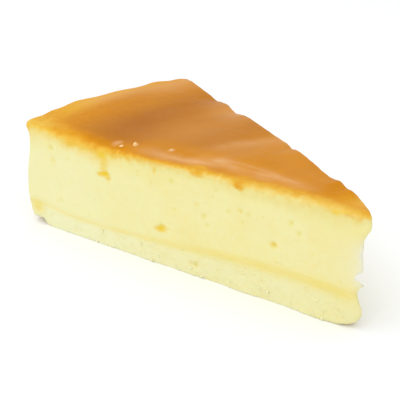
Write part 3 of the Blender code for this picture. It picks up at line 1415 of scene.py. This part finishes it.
@dataclass(frozen=True)
class Sponge(Layer):
    """The sponge under the custard, with an open crumb at the cuts.

    The wear of its foot is given for all of it, for the rim and for the tip, and so is what is spared of it
    at the rim's near corner.
    """

    piece: str = "sponge_layer"
    slot: str = "sponge"
    replaces: tuple[str, ...] = ("sponge_base",)
    along: int = 280
    across: int = 70
    wall: RoundedWall = RoundedWall(foot_steps=7, wall_steps=20, brow_steps=2)
    holes: tuple[Spot, ...] = (pit(62.0, 3.8, 0.9, 0.8), pit(63.7, 3.7, 0.7, 0.45))
    broken_off: float = 2.0
    worn_all_over: float = 0.2
    worn_at_rim: Round = Round(height=2.3, near=0.6, far=0.8, rim=2.8, tip=0.0)
    worn_at_tip: Round = Round(height=3.6, near=3.3, far=0.0, rim=0.0, tip=4.3)
    spared_at_corner: Round = Round(height=1.5, near=0.0, far=0.0, rim=1.7, tip=0.0)

    def low(self, radius: Array, turn: Array) -> Array:
        """Flat on what the slice stands on, with a bit broken off at the rim's near corner."""
        return self.broken_off * eased(radius, 120.2, 122.2) * eased(turn, -0.84, -0.98)

    def foot(self, radius: Array, turn: Array) -> Round:
        """A crumbly edge, worn off at the rim and the tip, but least at the rim's near corner.

        Args:
            radius: distances from the cake's middle.
            turn: turns off the middle plane.

        Returns:
            The rounded edge.
        """
        wear = 1 + 0.5 * self.form.wander(radius, turn * 8, 3.2, 6.5)
        side = self.worn_all_over * wear
        rim_end, tip_end = eased(radius, 116, 121), eased(radius, 17, 8.5)
        near_corner = eased(turn, -0.4, -1.0)
        rim, tip, spared = self.worn_at_rim, self.worn_at_tip, self.spared_at_corner
        return Round(
            height=side + (rim.height - spared.height * near_corner) * rim_end + tip.height * tip_end,
            near=side + rim.near * rim_end + tip.near * tip_end,
            far=side + rim.far * rim_end,
            rim=(rim.rim - spared.rim * near_corner) * wear,
            tip=tip.tip * wear,
        )

    def unevenness(self, at: Places) -> Array:
        """A crumb of fine noise and holes at the cuts and the tip, and a foot that flares at the near cut.

        Args:
            at: the places.

        Returns:
            How far each place stands out.
        """
        form, facing = self.form, at.facing
        open_crumb = np.clip(facing[Face.NEAR] + facing[Face.FAR] + facing[Face.TIP], 0, 1)
        crumb = 0.09 * form.noise.layered(at.points, 1.5, 2) * (open_crumb + 0.3 * facing[Face.RIM])
        fine_pits = scattered_pits(31, 110, (12, 122), (1, 9), (0.3, 0.6))
        pits = strongest([*fine_pits, *self.holes], at.radius, at.height) * open_crumb
        flare = 0.4 * form.wander(at.radius, at.radius * 0, 9, 11.5) + 0.4 * hump(at.radius, 23, 7)
        return crumb - pits + flare * hump(at.height, 0.0, 2.5) * facing[Face.NEAR]

    def masks(self, at: Places) -> dict[Mask, Array]:
        """What the sponge's material reads.

        Args:
            at: the places.

        Returns:
            A value for each place, for each mask.
        """
        shared = super().masks(at)
        # The two large holes, painted darker as painted shade.
        shaded_pores = strongest(self.holes, at.radius, at.height) / 0.5 * at.facing[Face.NEAR]
        rind = np.clip(shared[Mask.RIND] + eased(-at.normals[:, 2], 0.6, 0.95), 0, 1)
        return {**shared, Mask.PORE_SHADE: shaded_pores, Mask.RIND: rind}


@dataclass(frozen=True)
class SoakedSkin(Layer):
    """The sponge's soaked upper skin: a soft yellow band at the seam, let into both layers."""

    piece: str = "soaked_skin"
    slot: str = "sponge"
    replaces: tuple[str, ...] = ()
    along: int = 240
    across: int = 36
    wall: RoundedWall = RoundedWall(foot_steps=1, wall_steps=10, brow_steps=1)
    below: float = 1.1
    above: float = 0.9
    rounding: float = 0.1

    def relief(self, at: Places) -> Array:
        """The same waves as its neighbours, sunk where the neighbours stand out again."""
        return self.form.waves(at.points) - self.let_in * (1 - self.form.banded(at.radius, at.height))


# ------------------------------------------------------------
# Small pieces


@dataclass(frozen=True)
class Bead:
    """A bead of glaze on the top: its distance along and in from the near cut, and its half sizes."""

    radius: float
    inward: float
    length: float
    width: float
    height: float


@dataclass(frozen=True)
class GlazeBeads:
    """The beads of glaze that glint near the top's near edge."""

    form: SliceForm
    beads: tuple[Bead, ...] = (
        Bead(86.7, 5.0, 0.9, 0.95, 1.2), Bead(75.6, 7.4, 0.5, 0.5, 0.15), Bead(89.9, 2.4, 0.5, 0.8, 0.3),
    )

    def build(self, finish: Finish) -> bpy.types.Object:
        """Makes lumpy balls, squashed to the beads' sizes and sunk to a third in the top.

        Args:
            finish: the glaze's finish.

        Returns:
            The beads as one object.
        """
        unit, quads = ball(8)
        points, faces = [], []
        for number, bead in enumerate(self.beads):
            angle = np.full(1, -self.form.half_angle + math.asin(bead.inward / bead.radius))
            radius = np.full(1, bead.radius)
            top = self.form.top_height(radius, angle / self.form.half_angle)
            centre = self.form.point(radius, angle, top - bead.height / 3)
            lumps = 1 + 0.12 * self.form.noise.at(unit + number, 1.1)[:, None]
            points.append(centre + unit * np.array([bead.length, bead.width, bead.height]) * lumps)
            faces.append(quads + number * len(unit))
        piece = mesh_piece("glaze_beads", np.concatenate(points), np.concatenate(faces), {})
        return settled(piece, finish, "browned_top")


@dataclass(frozen=True)
class Crumbs:
    """Small crumbs of sponge that cling to its cuts, mostly low down."""

    form: SliceForm
    sponge: Sponge
    count: int = 90
    smallest: float = 0.18
    largest: float = 0.55
    thins_out_over: float = 4.0
    proud: float = 0.2
    seed: int = 41

    def build(self, finish: Finish) -> bpy.types.Object:
        """Makes lumpy balls of random sizes, which stand a little proud at random points of the cuts.

        Args:
            finish: the crumbs' finish.

        Returns:
            The crumbs as one object.
        """
        at, _ = self.sponge.surface()
        cut = at.facing[Face.NEAR] + at.facing[Face.FAR] + at.facing[Face.TIP]
        chance = np.where(cut > 0.9, np.exp(-at.height / self.thins_out_over), 0.0)
        draw = np.random.default_rng(self.seed)
        chosen = draw.choice(len(chance), self.count, replace=False, p=chance / chance.sum())
        sizes = between(self.smallest, self.largest, draw.random(self.count) ** 2)
        unit, quads = ball(4)
        lumps = 1 + 0.3 * np.stack([self.form.noise.at(unit + 3.7 * n, 0.9) for n in range(self.count)])
        squash = draw.uniform(0.6, 1.2, (self.count, 1, 3))
        shapes = unit[None] * lumps[:, :, None] * squash * sizes[:, None, None]
        centres = at.points[chosen] + at.normals[chosen] * sizes[:, None] * self.proud
        centres[:, 2] = np.maximum(centres[:, 2], sizes * 1.3)
        faces = quads[None] + len(unit) * np.arange(self.count)[:, None, None]
        piece = mesh_piece("crumbs", (centres[:, None] + shapes).reshape(-1, 3), faces.reshape(-1, 4), {})
        return settled(piece, finish, "sponge")


# ------------------------------------------------------------
# The studio, in metres


@dataclass(frozen=True)
class Softbox:
    """A square area light that looks at a point: its direction and distance from there, side and power."""

    name: str
    azimuth: float
    elevation: float
    distance: float
    side: float
    power: float


def direction(azimuth: float, elevation: float) -> Vector:
    """The way from the object to a place at an azimuth, which is 0 at -Y and 90 at +X, and an elevation."""
    turn, lift = math.radians(azimuth), math.radians(elevation)
    return Vector((math.sin(turn) * math.cos(lift), -math.cos(turn) * math.cos(lift), math.sin(lift)))


@dataclass(frozen=True)
class Studio:
    """The floor, the lights and the camera, which stands where the photograph was taken from."""

    aim: Vector = Vector((-0.83, -5.37, 17.5)) * MM
    azimuth: float = 48.82
    elevation: float = 26.29
    distance: float = 269.55 * MM
    lens: float = 79.7
    floor_side: float = 6.0
    ambient: float = 0.84
    softboxes: tuple[Softbox, ...] = (
        Softbox("overhead", azimuth=-40, elevation=65, distance=1.0, side=1.1, power=3.4),
        Softbox("front", azimuth=40, elevation=35, distance=1.0, side=1.1, power=1.7),
    )

    def build(self) -> None:
        """Builds the whole studio round the slice."""
        self.build_floor()
        self.build_world()
        for box in self.softboxes:
            self.build_softbox(box)
        self.build_camera()

    def build_floor(self) -> None:
        """A large level sheet just under the slice."""
        half = self.floor_side / 2 / MM
        corners = np.array([(-half, -half, 0), (half, -half, 0), (half, half, 0), (-half, half, 0)])
        floor = mesh_piece("floor", corners - (0, 0, 0.02), np.array([[0, 1, 2, 3]]), {})
        floor.data.materials.append(FloorFinish().material())

    def build_world(self) -> None:
        """An even white surround, and colours shown as they are."""
        world = bpy.data.worlds.new("studio")
        world.use_nodes = True
        background = world.node_tree.nodes["Background"]
        background.inputs["Color"].default_value = (1.0, 1.0, 1.0, 1.0)
        background.inputs["Strength"].default_value = self.ambient
        bpy.context.scene.world = world
        bpy.context.scene.view_settings.view_transform = "Standard"

    def build_softbox(self, box: Softbox) -> None:
        """Makes an area light that faces the slice.

        Args:
            box: what the light is like.
        """
        light = bpy.data.lights.new(box.name, "AREA")
        light.size = box.side
        light.energy = box.power
        self.place(bpy.data.objects.new(box.name, light), box.azimuth, box.elevation, box.distance)

    def build_camera(self) -> None:
        """The camera."""
        camera = bpy.data.cameras.new("camera")
        camera.lens = self.lens
        camera.clip_start = 10 * MM
        camera.clip_end = 10.0
        holder = bpy.data.objects.new("camera", camera)
        self.place(holder, self.azimuth, self.elevation, self.distance)
        bpy.context.scene.camera = holder

    def place(self, holder: bpy.types.Object, azimuth: float, elevation: float, distance: float) -> None:
        """Links an object at a direction and distance from the aim, and turns it to look there.

        Args:
            holder: the object.
            azimuth: its direction round the slice.
            elevation: its direction up from the floor.
            distance: how far off it stands.
        """
        back = direction(azimuth, elevation)
        holder.location = self.aim + back * distance
        holder.rotation_euler = (-back).to_track_quat("-Z", "Y").to_euler()
        bpy.context.scene.collection.objects.link(holder)


def main() -> None:
    """Builds the slice, layer by layer, and the studio round it."""
    logging.basicConfig(level=logging.INFO, format="%(message)s")
    form = SliceForm.from_frame()
    sponge = Sponge(form)
    Custard(form).build(CustardFinish())
    sponge.build(SpongeFinish())
    SoakedSkin(form).build(SoakedFinish())
    GlazeBeads(form).build(BeadFinish())
    Crumbs(form, sponge).build(SpongeFinish(name="crumb"))
    Studio().build()


if __name__ == "__main__":
    main()
